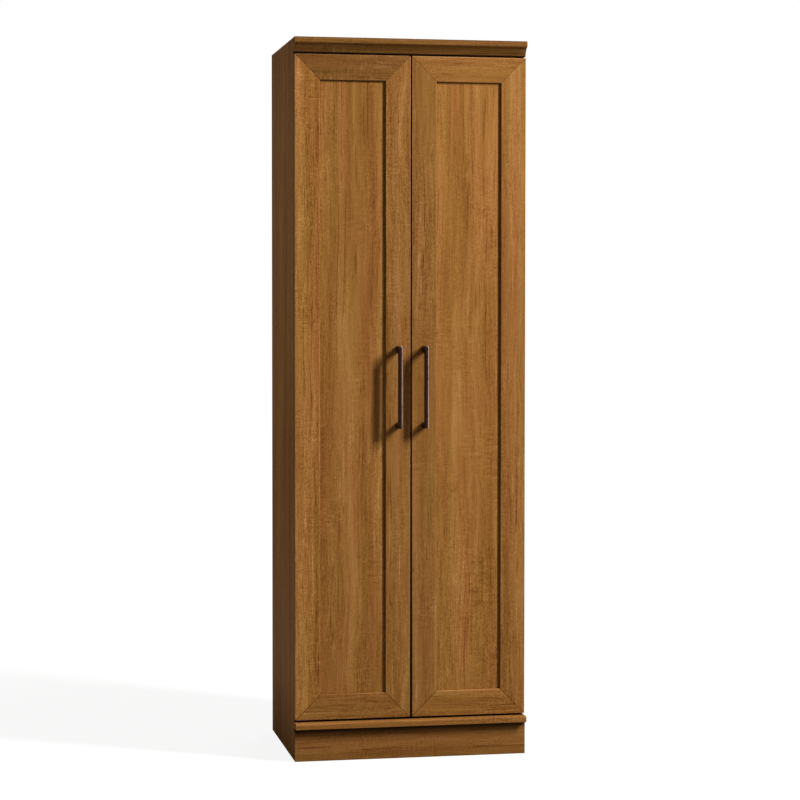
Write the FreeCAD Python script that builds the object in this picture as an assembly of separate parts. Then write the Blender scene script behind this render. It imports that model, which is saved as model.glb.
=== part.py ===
import FreeCAD, Part
import math
import os
from FreeCAD import Vector

# A tall two-door broom cupboard in laminated board, with overlay doors on concealed cup hinges.
# Millimetres. X runs across the front, +Y goes back to the wall and +Z goes up.
# The origin is on the floor, in the middle of the overall width and depth.

# Case
overall_width = 592.0
overall_height = 1808.0
case_depth = 412.0  # from the doors' front to the wall
board = 16.0
back_sheet = 3.0
back_inset = 2.0  # the back's edges stay this far inside the case's outline
edge_easing = 0.6  # softened long edges of the side boards

# Front trim
plinth_height = 82.5
plinth_thickness = 22.0
base_height = 15.5
base_reach = 20.0  # how far the base moulding's nose stands in front of the doors
base_nose_radius = 5.0
base_lip_radius = 1.5
crown_height = 37.5
crown_reach = 14.0
crown_band = 16.5  # the crown's round-nosed upper band
crown_nose_radius = 6.0
crown_quirk = 1.0  # small flat between the nose and the cove
crown_hollow = 2.0  # depth of the cove
crown_setback = 6.0  # from the doors' front back to the cove's foot

# Inside
deck_overlap = 10.0  # how far the doors cover the deck's front edge
top_rail_height = 45.0
top_bay_height = 252.0  # clear height between the high shelf and the top board
inner_setback = 20.0  # shelves and partition stay behind the case's front edge
partition_shift = 0.0  # partition's centre, to the right of the middle
loose_shelf_count = 3
loose_shelf_play = 0.8  # gap at each end of a loose shelf

# Shelf pins and their rows of holes
pin_radius = 2.5
pin_hole_depth = 10.0
pin_hole_pitch = 32.0
pin_holes_each_way = 1  # spare holes above and below each shelf's own hole
pin_row_inset = 50.0  # from a shelf's front and back edges to the rows of holes
pin_ledge_radius = 4.5
pin_ledge_reach = 7.0
pin_clearance = 0.1

# Cam fittings and dowels
cam_radius = 7.4
cam_height = 12.4
cam_setback = 24.0  # from the board's end to the cam's centre
cam_row_inset = 45.0  # from the board's front and back edges to the cams
cam_slot_width = 1.4
cam_slot_length = 9.0
cam_slot_depth = 2.0
bolt_shank_radius = 2.4
bolt_head_radius = 3.0
bolt_head_length = 4.0
bolt_bite = 11.0  # bolt's depth in the side board
fitting_clearance = 0.15
dowel_radius = 4.0
dowel_length = 26.0
dowel_bite = 11.0  # dowel's depth in the piece that it locates on
rail_dowel_margin = 11.0  # from a rail's long edges to its dowels
trim_dowel_margin = 20.0  # from the plinth's long edges to its dowels
crown_dowel_drop = 13.0  # from the crown's top to its dowels
partition_dowel_inset = 70.0

# Doors
door_thickness = 16.0
door_back_gap = 3.0
door_side_reveal = 0.5
door_meeting_gap = 3.0
door_top_gap = 4.0
door_bottom_gap = 5.0
frame_width = 64.0
frame_arris = 1.0  # eased outer edges
sight_arris = 2.0  # rounded edge beside the panel
mitre_easing = 0.5  # softened front edges of the mitres
panel_thickness = 5.0
panel_recess = 5.5
panel_tongue = 7.5  # how deep the panel sits in the frame's groove
panel_play = 0.5
groove_clearance = 0.1
bumper_radius = 4.0
bumper_inset = 20.0
bumper_drop = 12.0
bumper_clearance = 0.2

# Bar pulls
pull_reach = 33.0
pull_width = 10.0
pull_bar = 10.0  # bar's thickness, front to back
pull_hole_spacing = 192.0
pull_rise = 2.5  # pulls' middle, above the doors' middle
pull_leg = 15.0
pull_outer_radius = 3.0
pull_inner_radius = 6.0
pull_edge = 2.0
pull_screw_radius = 2.0
pull_screw_head_radius = 4.0
pull_screw_head = 2.2
pull_screw_bite = 11.0

# Concealed cup hinges, with one pivot inside the cup
hinge_count = 3
hinge_end_distance = 100.0  # from the door's ends to the outer hinges
cup_diameter = 35.0
cup_depth = 11.5
cup_edge = 3.0  # wood left between the cup and the door's edge
cup_wall = 1.0
cup_lip = 1.0
cup_flange = 1.0
cup_flange_height = 60.0
cup_flange_width = 16.0
cup_screw_spacing = 48.0
cup_screw_offset = 6.0
cup_clearance = 0.1
pivot_depth = 7.0  # from the door's back face
pivot_pin_radius = 1.0
pivot_running_clearance = 0.05
eye_wall = 1.0
eye_room = 0.8  # between the arm's eye and the cup's wall
neck_width = 7.0
neck_thickness = 2.0
neck_floor_gap = 0.3
arm_length = 62.0
arm_width = 14.0
arm_start = 6.0  # the wide arm begins this far behind the case's front edge
arm_cheek = 1.2
arm_cheek_height = 6.0
plate_thickness = 2.0
plate_length = 44.0
plate_wing_width = 10.0
plate_wing_height = 48.0
plate_screw_spacing = 32.0
plate_setback = 37.0  # from the case's front edge to the screws
plate_corner = 3.0
arm_screw_setback = 26.0
screw_radius = 2.4
screw_bite = 11.5
screw_head_radius = 3.6
screw_head = 1.6
screw_recess_length = 4.4
screw_recess_width = 1.0
screw_recess_depth = 0.8

# Places that follow from the sizes
half_width = overall_width / 2
inner_half = half_width - board
overall_depth = case_depth + pull_reach
back_y = overall_depth / 2
case_back_y = back_y - back_sheet
door_front_y = back_y - case_depth
door_back_y = door_front_y + door_thickness
case_front_y = door_back_y + door_back_gap
inner_front_y = case_front_y + inner_setback
crown_bottom = overall_height - crown_height
top_board_bottom = overall_height - board
top_rail_bottom = top_board_bottom - top_rail_height
base_top = plinth_height + base_height
door_bottom = base_top + door_bottom_gap
door_top = crown_bottom - door_top_gap
pull_middle = (door_bottom + door_top) / 2 + pull_rise
door_width = half_width - door_side_reveal - door_meeting_gap / 2
deck_top = door_bottom + deck_overlap
deck_bottom = deck_top - board
high_shelf_bottom = top_board_bottom - top_bay_height - board
broom_bay_height = high_shelf_bottom - deck_top
partition_left = partition_shift - board / 2
partition_right = partition_shift + board / 2
panel_front = door_thickness - panel_recess
panel_back = panel_front - panel_thickness
pull_length = pull_hole_spacing + pull_leg
cup_radius = cup_diameter / 2
cup_centre = cup_edge + cup_radius
eye_radius = pivot_pin_radius + pivot_running_clearance + eye_wall
pivot_inset = cup_edge + cup_wall + eye_room + eye_radius
hinge_step = (door_top - door_bottom - 2 * hinge_end_distance) / (hinge_count - 1)
hinge_levels = [door_bottom + hinge_end_distance + k * hinge_step for k in range(hinge_count)]
shelf_pitch = broom_bay_height / (loose_shelf_count + 1)
loose_shelf_levels = [deck_top + (k + 1) * shelf_pitch for k in range(loose_shelf_count)]
pin_rows = [inner_front_y + pin_row_inset, case_back_y - pin_row_inset]
UP = Vector(0, 0, 1)
side_name = {-1: "left", 1: "right"}


def block(x_low, x_high, y_low, y_high, z_low, z_high):
    """Box between two corners."""
    return Part.makeBox(x_high - x_low, y_high - y_low, z_high - z_low, Vector(x_low, y_low, z_low))


def rod(radius, start, end):
    """Round bar between two points."""
    run = end - start
    return Part.makeCylinder(radius, run.Length, start, run)


def prism(points, run):
    """Straight-sided outline pushed along a vector."""
    return Part.Face(Part.makePolygon(points + points[:1])).extrude(run)


def curved_prism(route, run):
    """Closed outline pushed along a vector. A stop on the route is a point, or a bend of three points."""
    edges = []
    last = route[-1][-1] if isinstance(route[-1], tuple) else route[-1]
    for stop in route:
        bend = stop if isinstance(stop, tuple) else (stop,)
        edges.append(Part.LineSegment(last, bend[0]).toShape())
        if len(bend) > 1:
            edges.append(Part.Arc(*bend).toShape())
        last = bend[-1]
    return Part.Face(Part.Wire(edges)).extrude(run)


def round_corner(corner, radius, start_way, end_way):
    """Bend at a square corner: where it starts, its middle and where it ends."""
    centre = corner + start_way * radius + end_way * radius
    outwards = (corner - centre).normalize() * radius
    return corner + start_way * radius, centre + outwards, corner + end_way * radius


def cut_all(solid, tools):
    """Solid with every tool taken away, as one clean solid."""
    return solid.cut(Part.makeCompound(tools)).Solids[0] if tools else solid


def join(solids):
    """Solids of one piece, joined with no seams left on flat faces."""
    return solids[0].fuse(solids[1:]).removeSplitter().Solids[0]


def round_plate(plate, thickness):
    """Plate with its corners rounded, found as the edges that are as long as it is thick."""
    edges = [edge for edge in plate.Edges if abs(edge.Length - thickness) < Part.Precision.confusion()]
    return plate.makeFillet(plate_corner, edges)


def at_hinge(side, inwards, forwards, z):
    """Point measured inwards from the outer side face and forwards from the case's front edge."""
    return Vector(side * (half_width - inwards), case_front_y - forwards, z)


def on_door(side, across, out, z):
    """Point measured across the door from its hinge edge and out from its back face."""
    return at_hinge(side, door_side_reveal + across, door_back_gap + out, z)


def save(node, solids):
    """One file for each named piece or group of like pieces."""
    shape = Part.makeCompound(solids) if len(solids) > 1 else solids[0]
    shape.exportStep("parts/" + node + ".step")


def dowel_between(middle, way, room):
    """Plain dowel across a joint, dowel_bite of it beyond the joint; room is added at each end."""
    near = middle - way * (dowel_length - dowel_bite + room)
    return rod(dowel_radius, near, middle + way * (dowel_bite + room))


def screw(head_seat, way, length, radius, head_radius, head):
    """Pan-head screw with a cross recess; way points from the head into the work."""
    top = head_seat - way * head
    body = join([rod(head_radius, top, head_seat), rod(radius, head_seat, head_seat + way * length)])
    side_way = way.cross(UP)
    recess = []
    for long_way, cross_way in ((side_way, UP), (UP, side_way)):
        along = long_way * screw_recess_length
        across = cross_way * screw_recess_width
        low = top - along / 2 - across / 2
        recess.append(prism([low, low + along, low + along + across, low + across], way * screw_recess_depth))
    return cut_all(body, recess)


# Joints that draw the case together

board_bores = {}


def bore(node, tool):
    """Note a bore to be made in a board."""
    board_bores.setdefault(node, []).append(tool)


def cam_joint(node, side, y, underside):
    """Cam lock in a level board's underside, and the bolt that it draws from the side board."""
    centre_x = side * (inner_half - cam_setback)
    axis_z = underside + board / 2
    way = Vector(-side, 0, 0)
    centre = Vector(centre_x, y, axis_z)
    seat = Vector(centre_x, y, underside)
    cam = Part.makeCylinder(cam_radius, cam_height, seat, UP)
    mouth_start = centre - way * (cam_radius + fitting_clearance)
    mouth = rod(bolt_head_radius + fitting_clearance, mouth_start, centre + way * bolt_head_length)
    slots = []
    for length_x, length_y in ((cam_slot_length, cam_slot_width), (cam_slot_width, cam_slot_length)):
        low = seat - Vector(length_x / 2, length_y / 2, 0)
        slots.append(Part.makeBox(length_x, length_y, cam_slot_depth, low))
    cam = cut_all(cam, [mouth] + slots)
    tip = Vector(side * (inner_half + bolt_bite), y, axis_z)
    head_start = centre - way * bolt_head_length / 2
    shank = rod(bolt_shank_radius, tip, head_start)
    head = rod(bolt_head_radius, head_start, centre + way * bolt_head_length / 2)
    bolt = join([shank, head])
    cam_bore = Part.makeCylinder(cam_radius + fitting_clearance, cam_height + fitting_clearance, seat, UP)
    bolt_bore = rod(bolt_head_radius + fitting_clearance, Vector(side * inner_half, y, axis_z), centre)
    bore(node, cam_bore)
    bore(node, bolt_bore)
    bore(side_name[side] + "_side_board", rod(bolt_shank_radius, tip, Vector(side * inner_half, y, axis_z)))
    return cam, bolt


cams = []
bolts = []
level_boards = {
    "top_board": (case_front_y, top_board_bottom),
    "deck_board": (case_front_y, deck_bottom),
    "high_shelf": (inner_front_y, high_shelf_bottom),
}
for node, (front_y, underside) in level_boards.items():
    for side in side_name:
        for y in (front_y + cam_row_inset, case_back_y - cam_row_inset):
            cam, bolt = cam_joint(node, side, y, underside)
            cams.append(cam)
            bolts.append(bolt)

dowels = []


def add_dowel(middle, way, near_node, far_node):
    """Dowel across a joint: its longer part in the near piece, dowel_bite of it in the far one."""
    dowels.append(dowel_between(middle, way, 0))
    for node in (near_node, far_node):
        bore(node, dowel_between(middle, way, fitting_clearance))


rail_middle_y = {"top_rail": case_front_y + board / 2, "rear_base_rail": case_back_y - board / 2}
rail_span = {"top_rail": (top_rail_bottom, top_board_bottom), "rear_base_rail": (0.0, deck_bottom)}
for node, (low, high) in rail_span.items():
    for side in side_name:
        for z in (low + rail_dowel_margin, high - rail_dowel_margin):
            middle = Vector(side * inner_half, rail_middle_y[node], z)
            add_dowel(middle, Vector(side, 0, 0), node, side_name[side] + "_side_board")

for y in (inner_front_y + partition_dowel_inset, case_back_y - partition_dowel_inset):
    add_dowel(Vector(partition_shift, y, deck_top), -UP, "partition_board", "deck_board")
    add_dowel(Vector(partition_shift, y, high_shelf_bottom), UP, "partition_board", "high_shelf")

plinth_dowel_levels = (trim_dowel_margin, plinth_height - trim_dowel_margin)
trim_dowel_levels = [("plinth_board", z) for z in plinth_dowel_levels]
trim_dowel_levels.append(("base_moulding", plinth_height + base_height / 2))
trim_dowel_levels.append(("crown_moulding", overall_height - crown_dowel_drop))
for node, z in trim_dowel_levels:
    for side in side_name:
        middle = Vector(side * (half_width - board / 2), case_front_y, z)
        add_dowel(middle, Vector(0, -1, 0), side_name[side] + "_side_board", node)

# Rows of pin holes in the shelf bay, and the pins in the holes that carry shelves

pins = []
bay_faces = {"partition_board": (partition_right, 1), "right_side_board": (inner_half, -1)}
for node, (face_x, way_x) in bay_faces.items():
    way = Vector(way_x, 0, 0)
    for level in loose_shelf_levels:
        for y in pin_rows:
            for step in range(-pin_holes_each_way, pin_holes_each_way + 1):
                mouth = Vector(face_x, y, level + step * pin_hole_pitch)
                bore(node, rod(pin_radius + pin_clearance / 2, mouth - way * pin_hole_depth, mouth))
            seat = Vector(face_x, y, level)
            stem = rod(pin_radius, seat - way * (pin_hole_depth - pin_clearance), seat)
            ledge = rod(pin_ledge_radius, seat, seat + way * pin_ledge_reach)
            ledge_span = sorted((face_x, face_x + way_x * pin_ledge_reach))
            ledge_width = (y - pin_ledge_radius, y + pin_ledge_radius)
            above = block(*ledge_span, *ledge_width, level, level + pin_ledge_radius)
            pins.append(join([stem, cut_all(ledge, [above])]))

# Hinges: plates and arms stay on the side boards, cups and pivot pins go with the doors

pivot_forwards = door_back_gap + pivot_depth
pivot_inwards = door_side_reveal + pivot_inset
neck_inwards = board + plate_thickness + neck_thickness / 2
elbow_forwards = door_back_gap + cup_depth - cup_wall - neck_floor_gap - neck_thickness / 2
pin_offset = cup_centre - pivot_inset + pivot_pin_radius
pin_half_length = math.sqrt(cup_radius ** 2 - pin_offset ** 2) - cup_clearance
plate_screws = []
arm_screws = []


def hinge_arm(side, z):
    """Channel arm on its plate, with a swan neck that reaches into the cup and ends in an eye."""
    low = z - neck_width / 2
    half = neck_thickness / 2
    pivot = at_hinge(side, pivot_inwards, pivot_forwards, low)
    elbow = at_hinge(side, neck_inwards, elbow_forwards, low)
    heel = at_hinge(side, neck_inwards, -arm_start, low)
    rise = UP * neck_width
    pieces = [rod(eye_radius, pivot, pivot + rise), rod(half, elbow, elbow + rise)]
    for start, end in ((pivot, elbow), (elbow, heel)):
        across = (end - start).normalize().cross(UP) * half
        pieces.append(prism([start - across, end - across, end + across, start + across], rise))
    inner = board + plate_thickness
    for bottom, top, height in (
        (z - arm_width / 2, z + arm_width / 2, neck_thickness),
        (z - arm_width / 2, z - arm_width / 2 + arm_cheek, arm_cheek_height),
        (z + arm_width / 2 - arm_cheek, z + arm_width / 2, arm_cheek_height),
    ):
        corners = [(inner, -arm_start), (inner + height, -arm_start)]
        corners += [(inner + height, -arm_length), (inner, -arm_length)]
        strip = [at_hinge(side, inwards, forwards, bottom) for inwards, forwards in corners]
        pieces.append(prism(strip, UP * (top - bottom)))
    hole = rod(pivot_pin_radius + pivot_running_clearance, pivot, pivot + rise)
    ends = [at_hinge(side, inwards, -arm_screw_setback, z) for inwards in (inner, inner + neck_thickness)]
    return cut_all(join(pieces), [hole, rod(screw_radius + fitting_clearance, *ends)])


def hinge_plate(side, z):
    """Cross-shaped mounting plate: a bed for the arm and two wings for screws."""
    spans = (
        (plate_setback - plate_wing_width / 2, plate_setback + plate_wing_width / 2, plate_wing_height),
        (plate_setback - plate_length / 2, plate_setback + plate_length / 2, arm_width),
    )
    pieces = []
    for near, far, height in spans:
        corners = [(near, -height / 2), (far, -height / 2), (far, height / 2), (near, height / 2)]
        outline = [at_hinge(side, board, -back, z + up) for back, up in corners]
        bar = prism(outline, Vector(-side * plate_thickness, 0, 0))
        pieces.append(round_plate(bar, plate_thickness))
    holes = [at_hinge(side, board, -plate_setback, z + k * plate_screw_spacing / 2) for k in (-1, 1)]
    holes.append(at_hinge(side, board, -arm_screw_setback, z))
    through = Vector(-side * plate_thickness, 0, 0)
    bores = [rod(screw_radius + fitting_clearance, hole, hole + through) for hole in holes]
    return cut_all(join(pieces), bores)


def hinge_screws(side, z):
    """Two screws through the plate's wings and one that holds the arm on its plate."""
    way = Vector(side, 0, 0)
    node = side_name[side] + "_side_board"
    length = plate_thickness + screw_bite
    for k in (-1, 1):
        seat = at_hinge(side, board + plate_thickness, -plate_setback, z + k * plate_screw_spacing / 2)
        plate_screws.append(screw(seat, way, length, screw_radius, screw_head_radius, screw_head))
        bore(node, rod(screw_radius, seat, seat + way * length))
    reach = plate_thickness + neck_thickness
    seat = at_hinge(side, board + reach, -arm_screw_setback, z)
    arm_screws.append(screw(seat, way, reach, screw_radius, screw_head_radius, screw_head))


def hinge_cup(side, z):
    """Pressed cup with a lip, a flange for two screws and pockets that hold the pivot pin's ends."""
    mouth = on_door(side, cup_centre, -cup_flange, z)
    way = Vector(0, -1, 0)
    seat = on_door(side, cup_centre, 0, z)
    shell = Part.makeCylinder(cup_radius, cup_depth, seat, way)
    lip = Part.makeCylinder(cup_radius + cup_lip, cup_flange, mouth, way)
    near = cup_centre + cup_screw_offset - cup_flange_width / 2
    far = cup_centre + cup_screw_offset + cup_flange_width / 2
    low = z - cup_flange_height / 2
    high = z + cup_flange_height / 2
    corners = [(near, low), (far, low), (far, high), (near, high)]
    flange = prism([on_door(side, across, -cup_flange, level) for across, level in corners], way * cup_flange)
    flange = round_plate(flange, cup_flange)
    hollow = Part.makeCylinder(cup_radius - cup_wall, cup_flange + cup_depth - cup_wall, mouth, way)
    holes = []
    for k in (-1, 1):
        start = on_door(side, cup_centre + cup_screw_offset, -cup_flange, z + k * cup_screw_spacing / 2)
        holes.append(rod(screw_radius + fitting_clearance, start, start + way * cup_flange))
    return cut_all(join([shell, lip, flange]), [hollow, pivot_pin(side, z)] + holes)


def pivot_pin(side, z):
    """Pin across the cup, on the door's turning axis."""
    return rod(
        pivot_pin_radius,
        on_door(side, pivot_inset, pivot_depth, z - pin_half_length),
        on_door(side, pivot_inset, pivot_depth, z + pin_half_length),
    )


def frame_section(place):
    """Section of a frame member: place gives the point w from its outer edge and n out from its back."""
    front = door_thickness
    sight = frame_width
    low = panel_back - groove_clearance
    high = panel_front + groove_clearance
    bed = sight - panel_tongue - panel_play
    fall = sight_arris * (1 - math.sqrt(0.5))
    back_edge = [place(0, frame_arris), place(frame_arris, 0), place(sight, 0)]
    groove = [place(sight, low), place(bed, low), place(bed, high), place(sight, high)]
    bend_middle = place(sight - fall, front - fall)
    bend = (place(sight, front - sight_arris), bend_middle, place(sight - sight_arris, front))
    return back_edge + groove + [bend, place(frame_arris, front), place(0, front - frame_arris)]


def frame_member(side, section, run, mitre):
    """Member cut from its section and mitred at both ends, where the front edges are eased."""
    back_way = Vector(0, 1, 0)
    front = [on_door(side, across, door_thickness, z) for across, z in mitre]
    member = curved_prism(section, run).common(prism(front, back_way * door_thickness)).Solids[0]
    easings = []
    for start, end in ((front[0], front[3]), (front[1], front[2])):
        across = (end - start).normalize().cross(back_way) * mitre_easing
        easings.append(prism([start - across, start + across, start + back_way * mitre_easing], end - start))
    return cut_all(member, easings)


def bar_pull(side):
    """Flat arched bar with two legs, softened along its edges."""
    x = on_door(side, door_width - frame_width / 2, 0, 0).x - pull_width / 2

    def place(out, up):
        return Vector(x, door_front_y - out, pull_middle + up)

    outer_end = pull_length / 2
    inner_end = outer_end - pull_leg
    back = pull_reach - pull_bar
    front_way = Vector(0, -1, 0)
    back_way = Vector(0, 1, 0)
    route = [
        place(0, -outer_end),
        round_corner(place(pull_reach, -outer_end), pull_outer_radius, back_way, UP),
        round_corner(place(pull_reach, outer_end), pull_outer_radius, -UP, back_way),
        place(0, outer_end),
        place(0, inner_end),
        round_corner(place(back, inner_end), pull_inner_radius, back_way, -UP),
        round_corner(place(back, -inner_end), pull_inner_radius, UP, back_way),
        place(0, -inner_end),
    ]
    bar = curved_prism(route, Vector(pull_width, 0, 0))
    flanks = [face for face in bar.Faces if abs(abs(face.normalAt(0, 0).x) - 1) < Part.Precision.confusion()]
    rims = [edge for face in flanks for edge in face.Edges if edge.BoundBox.YMin < door_front_y - pull_edge]
    bar = bar.makeFillet(pull_edge, rims)
    bores = [rod(pull_screw_radius, seat, seat + front_way * pull_screw_bite) for seat in pull_seats(side)]
    return cut_all(bar, bores)


def pull_seats(side):
    """Where the pull's screws leave the door's front."""
    across = door_width - frame_width / 2
    ends = (pull_middle - pull_hole_spacing / 2, pull_middle + pull_hole_spacing / 2)
    return [on_door(side, across, door_thickness, z) for z in ends]


def make_door(side):
    """All pieces of one door, with what rides on it."""
    name = side_name[side]
    z_low = door_bottom
    z_high = door_top
    w = frame_width
    tall = UP * (z_high - z_low)
    wide = Vector(-side * door_width, 0, 0)
    hinge_bores = []
    for z in hinge_levels:
        start = on_door(side, cup_centre, -cup_flange, z)
        deep = Vector(0, -(cup_flange + cup_depth + cup_clearance), 0)
        hinge_bores.append(rod(cup_radius + cup_clearance, start, start + deep))
        for k in (-1, 1):
            seat = on_door(side, cup_centre + cup_screw_offset, 0, z + k * cup_screw_spacing / 2)
            hinge_bores.append(rod(screw_radius, seat, seat + Vector(0, -screw_bite, 0)))
    through = Vector(0, door_thickness, 0)
    bore_radius = pull_screw_radius + fitting_clearance
    pull_bores = [rod(bore_radius, seat, seat + through) for seat in pull_seats(side)]

    def upright(edge, way):
        return frame_section(lambda across, out: on_door(side, edge + way * across, out, z_low))

    def level(edge, way):
        return frame_section(lambda across, out: on_door(side, 0, out, edge + way * across))

    hinge_mitre = [(0, z_low), (0, z_high), (w, z_high - w), (w, z_low + w)]
    meeting_mitre = [(door_width - across, z) for across, z in hinge_mitre]
    top_mitre = [(0, z_high), (door_width, z_high), (door_width - w, z_high - w), (w, z_high - w)]
    bottom_mitre = [(across, z_low + z_high - z) for across, z in top_mitre]
    hinge_stile = frame_member(side, upright(0, 1), tall, hinge_mitre)
    meeting_stile = frame_member(side, upright(door_width, -1), tall, meeting_mitre)
    save(name + "_door_hinge_stile", [cut_all(hinge_stile, hinge_bores)])
    save(name + "_door_meeting_stile", [cut_all(meeting_stile, pull_bores)])
    save(name + "_door_top_rail", [frame_member(side, level(z_high, -1), wide, top_mitre)])
    save(name + "_door_bottom_rail", [frame_member(side, level(z_low, 1), wide, bottom_mitre)])
    edge = w - panel_tongue
    corners = [(edge, z_low + edge), (door_width - edge, z_low + edge)]
    corners += [(door_width - edge, z_high - edge), (edge, z_high - edge)]
    panel_face = [on_door(side, across, panel_back, z) for across, z in corners]
    save(name + "_door_panel", [prism(panel_face, Vector(0, -panel_thickness, 0))])
    save(name + "_pull", [bar_pull(side)])
    out = Vector(0, -1, 0)
    grip = door_thickness + pull_screw_bite - fitting_clearance
    pull_screw = (out, grip, pull_screw_radius, pull_screw_head_radius, pull_screw_head)
    save(name + "_pull_screws", [screw(seat + through, *pull_screw) for seat in pull_seats(side)])
    cup_screws = []
    for number, z in enumerate(hinge_levels, 1):
        save(name + "_hinge_cup_%d" % number, [hinge_cup(side, z)])
        for k in (-1, 1):
            seat = on_door(side, cup_centre + cup_screw_offset, -cup_flange, z + k * cup_screw_spacing / 2)
            length = screw_bite + cup_flange
            cup_screws.append(screw(seat, out, length, screw_radius, screw_head_radius, screw_head))
    save(name + "_cup_screws", cup_screws)
    save(name + "_hinge_pins", [pivot_pin(side, z) for z in hinge_levels])
    bumpers = []
    for z in (door_bottom + deck_overlap / 2, door_top - bumper_drop):
        start = on_door(side, door_width - bumper_inset, 0, z)
        bumpers.append(rod(bumper_radius, start, start + Vector(0, door_back_gap - bumper_clearance, 0)))
    save(name + "_bumpers", bumpers)


def save_board(node, solid):
    """Board with the bores noted for it."""
    save(node, [cut_all(solid, board_bores.get(node, []))])


def side_board(side):
    """Full-height side with its long outer edges softened."""
    outer = side * half_width
    inner = side * inner_half
    easing = -side * edge_easing
    corners = [(inner, case_front_y), (outer + easing, case_front_y), (outer, case_front_y + edge_easing)]
    corners += [(outer, case_back_y), (inner, case_back_y)]
    return prism([Vector(x, y, 0) for x, y in corners], UP * overall_height)


def on_left_end(y, z):
    """Point of a moulding's section, on the case's left end."""
    return Vector(-half_width, y, z)


def crown_moulding():
    """Round-nosed band over a shallow cove that runs back above the doors."""
    nose = door_front_y - crown_reach
    band_low = overall_height - crown_band
    back_way = Vector(0, 1, 0)
    cove_top = on_left_end(nose + crown_nose_radius + crown_quirk, band_low)
    cove_foot = on_left_end(door_front_y + crown_setback, crown_bottom)
    hollow_way = Vector(1, 0, 0).cross(cove_foot - cove_top).normalize()
    cove_middle = (cove_top + cove_foot) / 2 + hollow_way * crown_hollow
    route = [
        on_left_end(case_front_y, crown_bottom),
        on_left_end(case_front_y, overall_height),
        round_corner(on_left_end(nose, overall_height), crown_nose_radius, back_way, -UP),
        round_corner(on_left_end(nose, band_low), crown_nose_radius, UP, back_way),
        (cove_top, cove_middle, cove_foot),
    ]
    return curved_prism(route, Vector(overall_width, 0, 0))


def base_moulding():
    """Flat-topped ledge with a round nose, standing in front of the doors."""
    nose = door_front_y - base_reach
    back_way = Vector(0, 1, 0)
    route = [
        on_left_end(case_front_y, plinth_height),
        on_left_end(case_front_y, base_top),
        round_corner(on_left_end(nose, base_top), base_nose_radius, back_way, -UP),
        round_corner(on_left_end(nose, plinth_height), base_lip_radius, UP, back_way),
    ]
    return curved_prism(route, Vector(overall_width, 0, 0))


os.makedirs("parts", exist_ok=True)

for side, name in side_name.items():
    for number, z in enumerate(hinge_levels, 1):
        save(name + "_hinge_plate_%d" % number, [hinge_plate(side, z)])
        save(name + "_hinge_arm_%d" % number, [hinge_arm(side, z)])
        hinge_screws(side, z)
    make_door(side)
    save_board(name + "_side_board", side_board(side))
save("hinge_plate_screws", plate_screws)
save("hinge_arm_screws", arm_screws)

for node, (front_y, underside) in level_boards.items():
    save_board(node, block(-inner_half, inner_half, front_y, case_back_y, underside, underside + board))
partition = (partition_left, partition_right, inner_front_y, case_back_y, deck_top, high_shelf_bottom)
save_board("partition_board", block(*partition))
for node, (low, high) in rail_span.items():
    middle_y = rail_middle_y[node]
    save_board(node, block(-inner_half, inner_half, middle_y - board / 2, middle_y + board / 2, low, high))
plinth_depth = (case_front_y - plinth_thickness, case_front_y)
save_board("plinth_board", block(-half_width, half_width, *plinth_depth, 0, plinth_height))
save_board("base_moulding", base_moulding())
save_board("crown_moulding", crown_moulding())
back_edge = half_width - back_inset
back_span = (-back_edge, back_edge, case_back_y, back_y, back_inset, overall_height - back_inset)
save("back_sheet", [block(*back_span)])
shelf_span = (partition_right + loose_shelf_play, inner_half - loose_shelf_play, inner_front_y, case_back_y)
for number, level in enumerate(loose_shelf_levels, 1):
    save("loose_shelf_%d" % number, [block(*shelf_span, level, level + board)])
save("shelf_pins", pins)
save("cam_locks", cams)
save("cam_bolts", bolts)
save("dowels", dowels)
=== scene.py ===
import bpy
import math
import numpy as np
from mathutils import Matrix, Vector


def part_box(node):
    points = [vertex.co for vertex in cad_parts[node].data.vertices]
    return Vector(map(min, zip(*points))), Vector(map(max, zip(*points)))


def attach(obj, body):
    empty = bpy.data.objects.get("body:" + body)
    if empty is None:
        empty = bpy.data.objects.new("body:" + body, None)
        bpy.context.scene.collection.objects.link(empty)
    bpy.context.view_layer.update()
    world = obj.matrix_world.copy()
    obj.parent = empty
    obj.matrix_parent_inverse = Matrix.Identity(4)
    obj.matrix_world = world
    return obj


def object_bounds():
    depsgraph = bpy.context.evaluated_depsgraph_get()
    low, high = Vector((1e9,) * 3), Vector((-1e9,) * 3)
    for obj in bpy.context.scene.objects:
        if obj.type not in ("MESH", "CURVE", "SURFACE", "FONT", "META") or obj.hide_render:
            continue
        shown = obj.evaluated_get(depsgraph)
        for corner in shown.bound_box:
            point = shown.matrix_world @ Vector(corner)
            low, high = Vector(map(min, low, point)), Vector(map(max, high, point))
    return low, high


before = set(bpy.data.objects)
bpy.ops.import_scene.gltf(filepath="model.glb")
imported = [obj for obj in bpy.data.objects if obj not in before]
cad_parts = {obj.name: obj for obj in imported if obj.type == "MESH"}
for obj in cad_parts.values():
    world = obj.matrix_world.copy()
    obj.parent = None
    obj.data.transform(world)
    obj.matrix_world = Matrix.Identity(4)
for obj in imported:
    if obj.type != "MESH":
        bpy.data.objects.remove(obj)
cad_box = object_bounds()


# Side boards
# Two full-height sides of chipboard, pressed between sheets of printed wood-grain foil.
# Their front edges are banded in the same print; back and bottom edges show the raw chips.

def srgb(red, green, blue):
    """Colour as a paint card gives it, 0 to 255, turned into the light that it sends back."""
    card = np.array([red, green, blue]) / 255
    light = np.where(card <= 0.04045, card / 12.92, ((card + 0.055) / 1.055) ** 2.4)
    return (*light.tolist(), 1.0)


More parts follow.
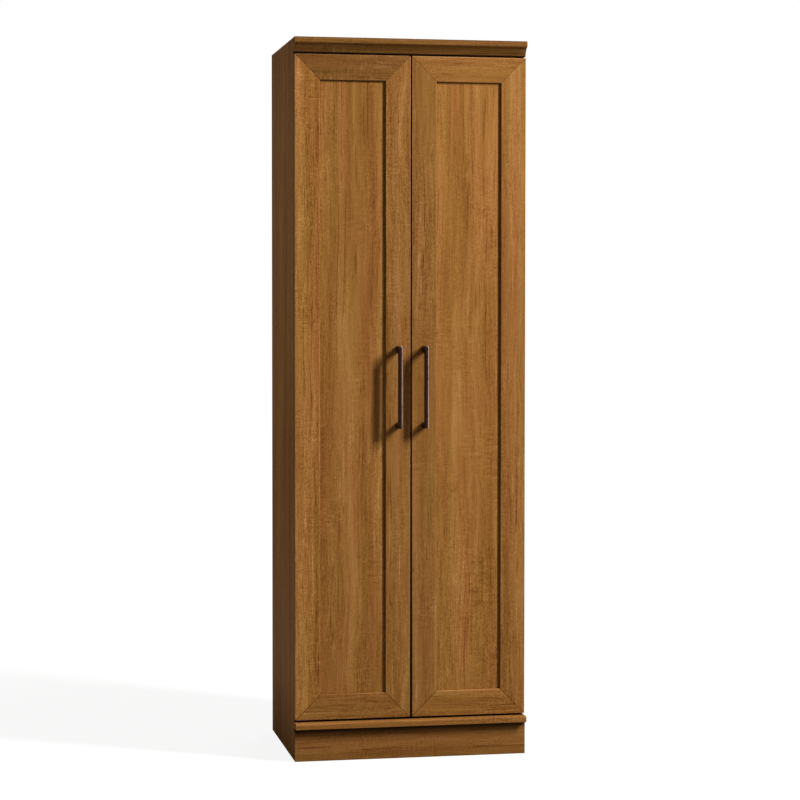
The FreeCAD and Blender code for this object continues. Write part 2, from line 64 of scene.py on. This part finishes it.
def add_node(tree, kind, inputs, **settings):
    """One shader node: settings are its own properties, inputs are numbers or other nodes' outputs."""
    node = tree.nodes.new("ShaderNode" + kind)
    for name, value in settings.items():
        setattr(node, name, value)
    for name, value in inputs.items():
        if isinstance(value, bpy.types.NodeSocket):
            tree.links.new(value, node.inputs[name])
        else:
            node.inputs[name].default_value = value
    return node


def new_finish(name, **constants):
    """Material with its node tree and its shader, whose constant sockets are set by name."""
    finish = bpy.data.materials.new(name)
    finish.use_nodes = True
    shader = finish.node_tree.nodes["Principled BSDF"]
    for socket, value in constants.items():
        shader.inputs[socket.replace("_", " ")].default_value = value
    return finish, finish.node_tree, shader


def drawn_noise(tree, place, cells, detail, crispness=0.5):
    """Noise from about -0.5 to 0.5, with a number of cells in each metre along each axis."""
    spread = add_node(tree, "VectorMath", {0: place, 1: cells}, operation="MULTIPLY").outputs[0]
    settings = {"Vector": spread, "Scale": 1.0, "Detail": detail, "Roughness": crispness}
    cloud = add_node(tree, "TexNoise", settings).outputs["Fac"]
    return add_node(tree, "Math", {0: cloud, 1: 0.5}, operation="SUBTRACT").outputs[0]


def step_up(tree, value, low, high):
    """0 below low, 1 above high and a straight rise between them."""
    return add_node(tree, "MapRange", {"Value": value, "From Min": low, "From Max": high}).outputs[0]


def product(tree, first, second):
    """Two values multiplied."""
    return add_node(tree, "Math", {0: first, 1: second}, operation="MULTIPLY").outputs[0]


def weighed_sum(tree, start, layers):
    """Start plus each layer times its weight."""
    total = start
    for layer, weight in layers:
        total = add_node(tree, "Math", {0: layer, 1: weight, 2: total}, operation="MULTIPLY_ADD").outputs[0]
    return total


def colour_scale(tree, value, stops):
    """Colours along a scale from 0 to 1, each stop a place and a colour."""
    ramp = add_node(tree, "ValToRGB", {"Fac": value})
    marks = ramp.color_ramp.elements
    while len(marks) < len(stops):
        marks.new(0.5)
    for mark, (place, colour) in zip(marks, stops):
        mark.position = place
        mark.color = colour
    return ramp.outputs["Color"]


def mixed(tree, share, first, second):
    """First colour with a share of the second over it."""
    mix = add_node(tree, "Mix", {0: share, 6: first, 7: second}, data_type="RGBA")
    return mix.outputs[2]


def looking(tree, way):
    """1 on faces that look along a way of the piece's own frame, 0 elsewhere."""
    facing = add_node(tree, "TexCoord", {}).outputs["Normal"]
    along = add_node(tree, "VectorMath", {0: facing, 1: way}, operation="DOT_PRODUCT").outputs["Value"]
    return add_node(tree, "Math", {0: along, 1: 0.9}, operation="GREATER_THAN").outputs[0]


def bumped(tree, height, depth):
    """Surface normal for a height from 0 to 1 that stands depth metres tall."""
    return add_node(tree, "Bump", {"Height": height, "Strength": 1.0, "Distance": depth}).outputs["Normal"]


grain_turn = {"X": (0, -math.pi / 2, 0), "Z": (0, 0, 0)}
print_step = (0.373, 0.291, 1.717)
print_marks = (0.0, 0.3, 0.5, 0.7, 1.0)
golden_print = ((80, 46, 13), (119, 77, 29), (147, 101, 46), (169, 123, 64), (204, 165, 104))
ruddy_print = ((82, 43, 16), (123, 74, 32), (150, 98, 48), (171, 119, 67), (206, 160, 108))
# Lighter arrises: partly wear of the foil, partly a painted highlight.
edge_wear_and_highlight_colour = (194, 156, 112)
edge_wear_and_highlight_share = 0.35
edge_wear_and_highlight_radius = 0.0016
open_seam = (34, 18, 6)
seam_width = (0.0008, 0.0018)
seam_margin = (0.003, 0.004)
# Colour and reach of the painted shade in corners, gaps and along edges.
painted_shade_colour = (14, 7, 2)
corner_shade_reach = 0.012
chip_colours = ((96, 66, 36), (150, 112, 66), (186, 150, 98), (214, 184, 134))


def chip_core(tree, place):
    """Pressed chips: cells a few millimetres wide, each with its own tan."""
    chips = add_node(tree, "TexVoronoi", {"Vector": place, "Scale": 330.0})
    shade = add_node(tree, "SeparateColor", {"Color": chips.outputs["Color"]}).outputs["Red"]
    stops = [(k / 3, srgb(*colour)) for k, colour in enumerate(chip_colours)]
    return colour_scale(tree, shade, stops)


def print_scale(tree, shade, cards, tone):
    """Colours of one ink of the print, from dark to light, made darker or lighter by tone."""
    colours = [[tone * part for part in srgb(*card)[:3]] + [1.0] for card in cards]
    return colour_scale(tree, shade, list(zip(print_marks, colours)))


def seam_line(tree, where, way, offset, inner, outer):
    """1 near the plane whose points, measured along way, give the offset; fades from inner to outer."""
    along = add_node(tree, "VectorMath", {0: where, 1: way}, operation="DOT_PRODUCT").outputs["Value"]
    away = add_node(tree, "Math", {0: along, 1: offset}, operation="SUBTRACT").outputs[0]
    near = add_node(tree, "Math", {0: away}, operation="ABSOLUTE").outputs[0]
    return step_up(tree, near, outer, inner)


def printed_foil(name, grain, sheet, tone=1.0, raw_ways=(), seams=(), painted_shade_lines=(), corner_shade_share=1.0):
    """Printed wood grain. Grain is its axis, sheet picks another stretch of the print, tone lightens it.
    The print adds soft bands, wandering streaks, fine lines, short fibres, pores, threads, cross ticks.
    Seams are open mitres; arrises are lightened, partly as wear and partly as a painted highlight.
    The last two arguments paint shade: dark lines along edges and gaps, and a share of darkening in sheltered
    corners."""
    finish, tree, shader = new_finish(name, Specular_IOR_Level=0.04)
    where = add_node(tree, "TexCoord", {}).outputs["Object"]
    shift = [sheet * step for step in print_step]
    turned = add_node(tree, "Mapping", {"Vector": where, "Rotation": grain_turn[grain], "Location": shift})
    plain = turned.outputs[0]
    spread = add_node(tree, "VectorMath", {0: plain, 1: (7.0, 7.0, 2.6)}, operation="MULTIPLY").outputs[0]
    drift = add_node(tree, "TexNoise", {"Vector": spread, "Scale": 1.0, "Detail": 2.0}).outputs["Color"]
    sway = add_node(tree, "VectorMath", {0: drift, 1: (0.03, 0.03, 0.0), 2: plain}, operation="MULTIPLY_ADD")
    place = sway.outputs[0]
    bands = drawn_noise(tree, place, (24.0, 24.0, 0.9), 2.0)
    streaks = drawn_noise(tree, place, (80.0, 80.0, 2.6), 4.0, 0.7)
    lines = drawn_noise(tree, place, (420.0, 420.0, 9.0), 3.0, 0.62)
    fibres = drawn_noise(tree, place, (330.0, 330.0, 190.0), 2.0, 0.6)
    pores = step_up(tree, drawn_noise(tree, place, (460.0, 460.0, 20.0), 1.0), 0.11, 0.24)
    pale = step_up(tree, drawn_noise(tree, place, (210.0, 210.0, 3.2), 1.0), 0.16, 0.26)
    patch = step_up(tree, drawn_noise(tree, plain, (13.0, 13.0, 6.0), 1.0), -0.05, 0.16)
    ripple = product(tree, drawn_noise(tree, place, (42.0, 42.0, 210.0), 2.0), patch)
    curl = drawn_noise(tree, place, (70.0, 70.0, 260.0), 3.0, 0.6)
    dark_ticks = product(tree, step_up(tree, curl, 0.1, 0.2), patch)
    pale_ticks = product(tree, step_up(tree, curl, -0.12, -0.22), patch)
    threads = step_up(tree, drawn_noise(tree, place, (170.0, 170.0, 1.3), 1.0), 0.17, 0.2)
    lively = step_up(tree, drawn_noise(tree, plain, (9.0, 9.0, 3.0), 2.0), -0.16, 0.18)
    fine = weighed_sum(tree, 0.0, [(lines, 0.5), (fibres, 0.54), (pores, -0.17)])
    fine = product(tree, fine, weighed_sum(tree, 0.45, [(lively, 0.95)]))
    broad = [(bands, 0.6), (streaks, 0.46), (pale, 0.15), (threads, -0.17)]
    figure = [(ripple, 0.34), (dark_ticks, -0.17), (pale_ticks, 0.26)]
    shade = weighed_sum(tree, 0.5, broad + figure + [(fine, 1.0)])
    golden = print_scale(tree, shade, golden_print, tone)
    ruddy = print_scale(tree, shade, ruddy_print, tone)
    warmth = step_up(tree, drawn_noise(tree, place, (30.0, 30.0, 2.2), 2.0), -0.14, 0.14)
    colour = mixed(tree, warmth, golden, ruddy)
    # Lighter arrises found by the Bevel normal, partly wear and partly a painted highlight, kept off beside
    # the mitres.
    rounded = add_node(tree, "Bevel", {"Radius": edge_wear_and_highlight_radius}, samples=4).outputs["Normal"]
    flat = add_node(tree, "NewGeometry", {}).outputs["Normal"]
    alike = add_node(tree, "VectorMath", {0: rounded, 1: flat}, operation="DOT_PRODUCT").outputs["Value"]
    edge_wear_and_highlight = product(tree, step_up(tree, alike, 0.995, 0.9), edge_wear_and_highlight_share)
    for way, offset, _ in seams:
        beside = seam_line(tree, where, way, offset, *seam_margin)
        edge_wear_and_highlight = product(tree, edge_wear_and_highlight, weighed_sum(tree, 1.0, [(beside, -1.0)]))
    colour = mixed(tree, edge_wear_and_highlight, colour, srgb(*edge_wear_and_highlight_colour))
    for way, offset, openness in seams:
        seam = seam_line(tree, where, way, offset, *seam_width)
        colour = mixed(tree, product(tree, seam, openness), colour, srgb(*open_seam))
    # Painted shade: dark lines laid along the given planes.
    for share, *planes in painted_shade_lines:
        for plane in planes:
            share = product(tree, seam_line(tree, where, *plane), share)
        colour = mixed(tree, share, colour, srgb(*painted_shade_colour))
    for way in raw_ways:
        colour = mixed(tree, looking(tree, way), colour, chip_core(tree, plain))
    # Painted shade: the colour is darkened where ambient occlusion finds corners, gaps and recesses.
    shelter = add_node(tree, "AmbientOcclusion", {"Distance": corner_shade_reach}, samples=6).outputs["AO"]
    corner_painted_shade = product(tree, step_up(tree, shelter, 0.55, 0.2), corner_shade_share)
    colour = mixed(tree, corner_painted_shade, colour, srgb(*painted_shade_colour))
    tree.links.new(colour, shader.inputs["Base Color"])
    tree.links.new(weighed_sum(tree, 0.5, [(lines, 0.25), (pores, 0.12)]), shader.inputs["Roughness"])
    relief = weighed_sum(tree, 0.5, [(lines, 0.5), (pores, -0.6)])
    tree.links.new(bumped(tree, relief, 0.00012), shader.inputs["Normal"])
    return finish


def dress(node, finish):
    """Gives a CAD piece its finish in place of its plain one."""
    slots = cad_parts[node].data.materials
    slots.clear()
    slots.append(finish)


BACKWARDS = (0, 1, 0)
DOWNWARDS = (0, 0, -1)
UPWARDS = (0, 0, 1)
raw_edges = (BACKWARDS, DOWNWARDS)
# Painted shade: the side boards darken towards the floor, fully within 30 mm and fading out by 160 mm.
foot_painted_shade = (0.35, (UPWARDS, cad_box[0].z, 0.03, 0.16))
for sheet, side in enumerate(("left", "right")):
    foil = printed_foil(side + "_side_foil", "Z", 3 + sheet, 1.0, raw_edges, painted_shade_lines=(foot_painted_shade,))
    dress(side + "_side_board", foil)


# Deck, high shelf, top board and partition
# Fixed boards of the same foiled chipboard, drawn to the sides by cams and located by dowels.
# The grain runs across the level boards and up the partition; their back edges are raw.

for sheet, node in enumerate(("deck_board", "high_shelf", "top_board")):
    dress(node, printed_foil(node + "_foil", "X", 11 + sheet, 1.0, (BACKWARDS,)))
dress("partition_board", printed_foil("partition_foil", "Z", 17, 1.0, (BACKWARDS,)))


# Rails
# The top rail stops the doors and backs the crown; the base rail holds the sides apart at the floor.
# Both are foiled strips, with the floor edge of the base rail left raw.

gap_level = (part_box("left_door_top_rail")[1].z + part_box("crown_moulding")[0].z) / 2
# Painted shade: a near-black band across the top rail at the level of the gap between the doors and the
# crown.
gap_painted_shade = (0.95, (UPWARDS, gap_level, 0.003, 0.006))
dress("top_rail", printed_foil("top_rail_foil", "X", 21, painted_shade_lines=(gap_painted_shade,)))
dress("rear_base_rail", printed_foil("base_rail_foil", "X", 22, 0.95, (DOWNWARDS,)))


# Back
# One thin hardboard sheet: raw pressed fibre behind, a paper wood print on the face inside.
# It is nailed all round into the edges of the sides, the top, the deck and the high shelf.

def pressed_fibre(name):
    """Brown fibre with short tangled hairs behind, and the print on the face that looks forwards."""
    finish, tree, shader = new_finish(name, Specular_IOR_Level=0.2)
    where = add_node(tree, "TexCoord", {}).outputs["Object"]
    cloud = drawn_noise(tree, where, (9.0, 9.0, 9.0), 3.0)
    speck = drawn_noise(tree, where, (900.0, 900.0, 900.0), 2.0)
    hairs = drawn_noise(tree, where, (1400.0, 1400.0, 190.0), 1.0)
    shade = weighed_sum(tree, 0.5, [(cloud, 0.5), (speck, 0.7), (hairs, 0.6)])
    fibre_stops = [(0.1, srgb(74, 48, 28)), (0.5, srgb(122, 86, 54)), (0.9, srgb(164, 126, 86))]
    fibre = colour_scale(tree, shade, fibre_stops)
    streaks = drawn_noise(tree, where, (90.0, 90.0, 3.0), 4.0)
    print_shade = weighed_sum(tree, 0.5, [(streaks, 0.9)])
    paper = colour_scale(tree, print_shade, [(0.1, srgb(112, 72, 30)), (0.9, srgb(172, 126, 70))])
    colour = mixed(tree, looking(tree, (0, -1, 0)), fibre, paper)
    tree.links.new(colour, shader.inputs["Base Color"])
    tree.links.new(weighed_sum(tree, 0.72, [(speck, 0.3)]), shader.inputs["Roughness"])
    relief = weighed_sum(tree, 0.5, [(speck, 0.6), (hairs, 0.8)])
    tree.links.new(bumped(tree, relief, 0.0002), shader.inputs["Normal"])
    return finish


dress("back_sheet", pressed_fibre("hardboard"))

nail_head = 0.0025
nail_rise = 0.0006
nail_hub = 0.02
nail_rings = 4
nail_turns = 14
nail_pitch = 0.15
sheet_low, sheet_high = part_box("back_sheet")


def evenly(low, high, pitch):
    """Places from low to high, spread evenly and about a pitch apart."""
    return np.linspace(low, high, max(2, round((high - low) / pitch) + 1))


def nail_heads(centres):
    """Domed discs: at share s of the radius r the head stands rise*(1 - s*s) behind the sheet."""
    shares = np.linspace(nail_hub, 1, nail_rings)
    share, turn = np.meshgrid(shares, np.linspace(0, 2 * math.pi, nail_turns, endpoint=False))
    x = nail_head * share * np.cos(turn)
    z = nail_head * share * np.sin(turn)
    y = nail_rise * (1 - share ** 2)
    dome = np.stack([x, y, z], -1)
    points = centres[:, None, None, :] + dome[None]
    turns, rings = share.shape
    k, j, i = np.meshgrid(np.arange(len(centres)), np.arange(turns), np.arange(rings - 1), indexing="ij")
    first = (k * turns + j) * rings + i
    second = (k * turns + (j + 1) % turns) * rings + i
    quads = np.stack([first, second, second + 1, first + 1], -1).reshape(-1, 4)
    caps = (np.arange(len(centres))[:, None] * turns + np.arange(turns)[None]) * rings
    mesh = bpy.data.meshes.new("back_nails")
    mesh.from_pydata(points.reshape(-1, 3).tolist(), [], quads.tolist() + caps[:, ::-1].tolist())
    mesh.shade_smooth()
    return mesh


side_middle = (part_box("left_side_board")[0].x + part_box("left_side_board")[1].x) / 2
level_middles = [(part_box(n)[0].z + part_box(n)[1].z) / 2 for n in ("deck_board", "high_shelf", "top_board")]
nail_levels = evenly(*level_middles[::2], nail_pitch)
upright_rows = [(x, z) for x in (side_middle, 0, -side_middle) for z in nail_levels]
level_rows = [(x, z) for z in level_middles for x in evenly(side_middle, -side_middle, nail_pitch)]
nail_places = {(round(x, 4), round(z, 4)) for x, z in upright_rows + level_rows}
over_partition = [(x, z) for x, z in sorted(nail_places) if abs(x) > 0 or z < level_middles[1]]
nail_centres = np.array([(x, sheet_high.y, z) for x, z in over_partition])
back_nails = bpy.data.objects.new("back_nails", nail_heads(nail_centres))
bpy.context.collection.objects.link(back_nails)


def plated_steel(name, card, roughness):
    """Plated pressing: bright metal with fine drawn scratches and a few dull clouds."""
    finish, tree, shader = new_finish(name, Metallic=1.0)
    where = add_node(tree, "TexCoord", {}).outputs["Object"]
    cloud = drawn_noise(tree, where, (120.0, 120.0, 120.0), 3.0)
    scratch = drawn_noise(tree, where, (2600.0, 2600.0, 160.0), 2.0)
    dark = srgb(*[0.78 * c for c in card])
    shade = weighed_sum(tree, 0.6, [(cloud, 0.9), (scratch, 0.5)])
    tree.links.new(colour_scale(tree, shade, [(0.1, dark), (0.7, srgb(*card))]), shader.inputs["Base Color"])
    tree.links.new(weighed_sum(tree, roughness, [(cloud, 0.25), (scratch, 0.2)]), shader.inputs["Roughness"])
    tree.links.new(bumped(tree, weighed_sum(tree, 0.5, [(scratch, 0.5)]), 0.00003), shader.inputs["Normal"])
    return finish


back_nails.data.materials.append(plated_steel("nail_steel", (150, 146, 140), 0.42))
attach(back_nails, "carcass")


# Crown, base moulding and plinth
# Lengths of moulded board wrapped in the foil, with the grain along them, dowelled to the front edges.
# The crown is a band over a shallow cove, the base a round-nosed ledge and the plinth a plain strip.

crown_low, crown_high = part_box("crown_moulding")
# Painted shade on the crown: a near-black line at its foot over the gap, a darker lower cove and a faint line
# about 11 mm below the top; the last line only darkens the top edge. Its corner darkening is kept low.
crown_painted_shade = (
    (0.9, (UPWARDS, crown_low.z, 0.0015, 0.003)),
    (0.32, (UPWARDS, crown_low.z, 0.006, 0.018)),
    (0.3, (UPWARDS, crown_high.z, 0.0105, 0.0125)),
    (0.4, (UPWARDS, crown_high.z, 0.002, 0.0045)),
)
dress("crown_moulding", printed_foil("crown_foil", "X", 31, 0.82, painted_shade_lines=crown_painted_shade, corner_shade_share=0.1))
dress("base_moulding", printed_foil("base_foil", "X", 32, 0.82))
# Painted shade: a dark band across the top of the plinth, just under the base moulding's nose.
plinth_painted_shade = (0.8, (UPWARDS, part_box("base_moulding")[0].z - 0.004, 0.003, 0.012))
dress("plinth_board", printed_foil("plinth_foil", "X", 33, 0.74, (DOWNWARDS,), (), (plinth_painted_shade,)))


# Loose shelves and their pins
# Three foiled shelves that lift out, each on four turned pins pushed into the rows of holes.

for number in (1, 2, 3):
    shelf = "loose_shelf_%d" % number
    dress(shelf, printed_foil(shelf + "_foil", "X", 40 + number, 1.0, (BACKWARDS,)))
dress("shelf_pins", plated_steel("pin_steel", (188, 186, 180), 0.3))


# Cams, bolts and dowels
# Slotted cams sit in the undersides of the boards and pull on bolts in the sides.
# The dowels are plain beech, glued in and out of sight.

def cast_zinc(name, card, roughness):
    """Die-cast zinc: dull grey metal, mottled, with a slightly pitted skin."""
    finish, tree, shader = new_finish(name, Metallic=0.9)
    where = add_node(tree, "TexCoord", {}).outputs["Object"]
    mottle = drawn_noise(tree, where, (420.0, 420.0, 420.0), 3.0)
    pits = drawn_noise(tree, where, (2200.0, 2200.0, 2200.0), 2.0)
    shade = weighed_sum(tree, 0.5, [(mottle, 1.1), (pits, 0.5)])
    dark = srgb(*[0.7 * c for c in card])
    tree.links.new(colour_scale(tree, shade, [(0.2, dark), (0.75, srgb(*card))]), shader.inputs["Base Color"])
    tree.links.new(weighed_sum(tree, roughness, [(mottle, 0.3)]), shader.inputs["Roughness"])
    tree.links.new(bumped(tree, weighed_sum(tree, 0.5, [(pits, 0.8)]), 0.00005), shader.inputs["Normal"])
    return finish


dress("cam_locks", cast_zinc("cam_zinc", (172, 172, 170), 0.42))
dress("cam_bolts", plated_steel("bolt_steel", (176, 168, 150), 0.35))


def turned_beech(name):
    """Pale beech with short brown flecks."""
    finish, tree, shader = new_finish(name, Specular_IOR_Level=0.3)
    where = add_node(tree, "TexCoord", {}).outputs["Object"]
    grain = drawn_noise(tree, where, (500.0, 500.0, 500.0), 3.0)
    flecks = step_up(tree, drawn_noise(tree, where, (1500.0, 600.0, 1500.0), 1.0), 0.12, 0.25)
    shade = weighed_sum(tree, 0.6, [(grain, 0.8), (flecks, -0.3)])
    colour = colour_scale(tree, shade, [(0.1, srgb(158, 116, 74)), (0.8, srgb(220, 186, 140))])
    tree.links.new(colour, shader.inputs["Base Color"])
    tree.links.new(weighed_sum(tree, 0.6, [(grain, 0.3)]), shader.inputs["Roughness"])
    tree.links.new(bumped(tree, weighed_sum(tree, 0.5, [(grain, 0.6)]), 0.0001), shader.inputs["Normal"])
    return finish


dress("dowels", turned_beech("dowel_beech"))


# Hinge plates, arms and their screws
# Nickel-plated pressings: a cross plate screwed to the side, and a channel arm with a swan neck on it.

hinge_nickel = plated_steel("hinge_nickel", (204, 202, 196), 0.24)
screw_nickel = plated_steel("screw_nickel", (190, 188, 182), 0.32)
for side in ("left", "right"):
    for number in (1, 2, 3):
        dress("%s_hinge_plate_%d" % (side, number), hinge_nickel)
        dress("%s_hinge_arm_%d" % (side, number), hinge_nickel)
dress("hinge_plate_screws", screw_nickel)
dress("hinge_arm_screws", screw_nickel)


# Doors
# Each has a frame of four foil-wrapped members, mitred at the corners, round a thin panel in a groove.
# The print runs up the stiles and panel and along the rails, and no two pieces are cut from one place.

door_members = {
    "hinge_stile": ("Z", (91, 1.02), (82, 0.84)),
    "meeting_stile": ("Z", (133, 0.8), (144, 0.76)),
    "top_rail": ("X", (165, 0.6), (56, 0.84)),
    "bottom_rail": ("X", (157, 0.81), (118, 0.9)),
    "panel": ("Z", (69, 0.89), (120, 0.94)),
}


mitre_opening = {-1: 0.52, 1: 0.16}
same_place = 1e-6


def mitre_seams(side, member):
    """The two planes at 45 degrees on which a frame member meets its neighbours, lower ones more open."""
    door_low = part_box(side + "_door_bottom_rail")[0]
    door_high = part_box(side + "_door_top_rail")[1]
    low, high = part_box("%s_door_%s" % (side, member))
    seams = []
    for x, x_sign in ((door_low.x, -1), (door_high.x, 1)):
        for z, z_sign in ((door_low.z, -1), (door_high.z, 1)):
            across = low.x - same_place <= x <= high.x + same_place
            if across and low.z - same_place <= z <= high.z + same_place:
                slope = -x_sign * z_sign
                seams.append(((1, 0, slope), x + slope * z, mitre_opening[z_sign]))
    return seams


# The meeting-edge line of painted shade: its offset from the edge at foot and head, and how deep it reaches.
shade_line_feet = {"left": 0.0001, "right": 0.0011}
shade_line_head = 0.0018
shade_line_depth = (0.002, 0.004)


def meeting_painted_shade(side):
    """Painted shade at the front of a door's meeting edge, widening the dark gap: a line that leans off the
    edge towards the top.
    """
    low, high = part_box(side + "_door_meeting_stile")
    edge, head = (high.x, shade_line_head) if side == "left" else (low.x, -shade_line_head)
    foot = shade_line_feet[side]
    lean = (head - foot) / (high.z - low.z)
    upright = ((1, 0, -lean), edge + foot - lean * low.z, *seam_width)
    return 0.9, upright, (BACKWARDS, low.y, *shade_line_depth)


for member, (grain, *cuts) in door_members.items():
    for side, (sheet, tone) in zip(("left", "right"), cuts):
        seams = () if member == "panel" else mitre_seams(side, member)
        # The meeting stiles also get the line of painted shade along the gap.
        painted_shade_lines = (meeting_painted_shade(side),) if member == "meeting_stile" else ()
        foil = printed_foil("%s_%s_foil" % (side, member), grain, sheet, tone, (), seams, painted_shade_lines)
        dress("%s_door_%s" % (side, member), foil)


# Hinge cups, pivot pins and bumpers
# The cups are pressed into bores in the hinge stiles and held by two screws; a pin crosses each one.
# Two clear stick-on dots on each meeting stile stop the door softly.

def clear_rubber(name):
    """Clear soft dots, a little cloudy inside and dusty outside."""
    finish, tree, shader = new_finish(name, Transmission_Weight=0.7, IOR=1.46)
    where = add_node(tree, "TexCoord", {}).outputs["Object"]
    cloud = drawn_noise(tree, where, (700.0, 700.0, 700.0), 2.0)
    shade = weighed_sum(tree, 0.5, [(cloud, 1.0)])
    colour = colour_scale(tree, shade, [(0.2, srgb(206, 206, 200)), (0.8, srgb(236, 236, 232))])
    tree.links.new(colour, shader.inputs["Base Color"])
    tree.links.new(weighed_sum(tree, 0.3, [(cloud, 0.3)]), shader.inputs["Roughness"])
    return finish


dot_rubber = clear_rubber("bumper_dots")
for side in ("left", "right"):
    for number in (1, 2, 3):
        dress("%s_hinge_cup_%d" % (side, number), hinge_nickel)
    dress(side + "_cup_screws", screw_nickel)
    dress(side + "_hinge_pins", screw_nickel)
    dress(side + "_bumpers", dot_rubber)


# Pulls
# Flat arched bars in dark bronze, held from behind the door by two screws each.
# The finish is lighter along the edges: partly wear where hands touch, partly a painted highlight strongest
# on edges that face +x.

def highlit_worn_bronze(name):
    """Near-black bronze, faintly brushed, with warmer metal on the edges: partly wear, partly a painted
    highlight on edges facing +x.
    """
    finish, tree, shader = new_finish(name, Metallic=0.3, Specular_IOR_Level=0.25)
    place = add_node(tree, "TexCoord", {}).outputs
    where = place["Object"]
    cloud = drawn_noise(tree, where, (60.0, 60.0, 60.0), 3.0)
    brush = drawn_noise(tree, where, (3000.0, 3000.0, 90.0), 2.0)
    leaning = add_node(tree, "VectorMath", {0: place["Normal"]}, operation="ABSOLUTE").outputs[0]
    parts = add_node(tree, "SeparateXYZ", {0: leaning}).outputs
    widest = add_node(tree, "Math", {0: parts["X"], 1: parts["Y"]}, operation="MAXIMUM").outputs[0]
    widest = add_node(tree, "Math", {0: widest, 1: parts["Z"]}, operation="MAXIMUM").outputs[0]
    bronze_wear_and_highlight = product(tree, step_up(tree, widest, 0.993, 0.94), step_up(tree, cloud, -0.5, -0.05))
    # Painted highlight: the lighter edges are weighted towards those that face +x, the key lamp's side.
    key_side_facing = add_node(tree, "SeparateXYZ", {0: place["Normal"]}).outputs["X"]
    bronze_wear_and_highlight = product(tree, bronze_wear_and_highlight, weighed_sum(tree, 0.15, [(step_up(tree, key_side_facing, -0.1, 0.25), 0.85)]))
    shade = weighed_sum(tree, 0.35, [(cloud, 0.3), (brush, 0.3), (bronze_wear_and_highlight, 0.66)])
    stops = [(0.1, srgb(34, 20, 14)), (0.5, srgb(50, 31, 22)), (1.0, srgb(182, 160, 148))]
    tree.links.new(colour_scale(tree, shade, stops), shader.inputs["Base Color"])
    tree.links.new(weighed_sum(tree, 0.36, [(cloud, 0.15), (brush, 0.2)]), shader.inputs["Roughness"])
    tree.links.new(bumped(tree, weighed_sum(tree, 0.5, [(brush, 0.5)]), 0.00004), shader.inputs["Normal"])
    return finish


pull_bronze = highlit_worn_bronze("pull_bronze")
for side in ("left", "right"):
    dress(side + "_pull", pull_bronze)
    dress(side + "_pull_screws", screw_nickel)


# Studio
# A pale floor under a white sky, a tall softbox high on the right, a weak one on the left, one behind.
# The camera stands a little left of the front, at about two thirds of the cupboard's height.

def straight_rays(tree):
    """1 for rays that come straight from the camera, so that only they see the plain white."""
    return add_node(tree, "LightPath", {}).outputs["Is Camera Ray"]


sky_light = 0.2
sky_tint = (1.0, 0.9, 0.78, 1.0)
plain_white = (1.0, 1.0, 1.0, 1.0)
world = bpy.data.worlds.new("white_studio")
world.use_nodes = True
bpy.context.scene.world = world
sky = world.node_tree.nodes["Background"]
warm_white = mixed(world.node_tree, straight_rays(world.node_tree), sky_tint, plain_white)
world.node_tree.links.new(warm_white, sky.inputs["Color"])
brightness = weighed_sum(world.node_tree, sky_light, [(straight_rays(world.node_tree), 1.0 - sky_light)])
world.node_tree.links.new(brightness, sky.inputs["Strength"])

floor_half = 30.0
floor_turns = ((-1, -1), (1, -1), (1, 1), (-1, 1))
floor_corners = [(x * floor_half, y * floor_half, cad_box[0].z) for x, y in floor_turns]
floor_mesh = bpy.data.meshes.new("studio_floor")
floor_mesh.from_pydata(floor_corners, [], [(0, 1, 2, 3)])
studio_floor = bpy.data.objects.new("studio_floor", floor_mesh)
bpy.context.collection.objects.link(studio_floor)
floor_finish = bpy.data.materials.new("pale_floor")
floor_finish.use_nodes = True
tree = floor_finish.node_tree
tree.nodes.remove(tree.nodes["Principled BSDF"])
matt = add_node(tree, "BsdfDiffuse", {"Color": (0.22, 0.22, 0.22, 1.0)}).outputs[0]
pale = add_node(tree, "BsdfDiffuse", {"Color": (0.8, 0.8, 0.8, 1.0)}).outputs[0]
glow = add_node(tree, "Emission", {"Color": plain_white, "Strength": 1.03}).outputs[0]
spot = add_node(tree, "TexCoord", {}).outputs["Object"]
reach = add_node(tree, "VectorMath", {0: spot}, operation="LENGTH").outputs["Value"]
fading = {"Value": reach, "From Min": 1.2, "From Max": 3.2, "To Min": 0.86}
glow_share = add_node(tree, "MapRange", fading).outputs[0]
white = add_node(tree, "MixShader", {0: glow_share, 1: pale, 2: glow}).outputs[0]
floor_shader = add_node(tree, "MixShader", {0: straight_rays(tree), 1: matt, 2: white}).outputs[0]
tree.links.new(floor_shader, tree.nodes["Material Output"].inputs["Surface"])
floor_mesh.materials.append(floor_finish)


def softbox(name, way, distance, width, height, watts):
    """Area lamp that hangs a distance along a way from the middle of the doors and faces it."""
    middle = np.array([0.0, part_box("left_door_panel")[0].y, (cad_box[0].z + cad_box[1].z) / 2])
    unit = np.array(way) / np.linalg.norm(way)
    lamp = bpy.data.lights.new(name, "AREA")
    lamp.shape = "RECTANGLE"
    lamp.size = width
    lamp.size_y = height
    lamp.energy = watts
    light = bpy.data.objects.new(name, lamp)
    light.location = middle + unit * distance
    light.rotation_euler = (math.acos(unit[2]), 0, math.atan2(unit[0], -unit[1]))
    bpy.context.collection.objects.link(light)


softbox("key_softbox", (1.57, -1.0, 1.27), 5.2, 0.46, 2.1, 515.0)
softbox("fill_softbox", (-1.0, 0.22, 0.2), 2.0, 0.9, 0.9, 4.7)
softbox("rear_softbox", (0.35, 1.0, 0.35), 4.5, 1.5, 1.5, 75.0)

eye = bpy.data.cameras.new("front_camera")
eye.lens = 96.25
eye.sensor_width = 36.0
eye.shift_x = 0.0497
eye.shift_y = -0.035
camera = bpy.data.objects.new("front_camera", eye)
camera.location = (-1.0803, -5.4563, 1.1495)
camera.rotation_euler = (math.radians(90 - 1.86), 0, math.radians(-10.229))
bpy.context.collection.objects.link(camera)
bpy.context.scene.camera = camera
bpy.context.scene.view_settings.view_transform = "Standard"
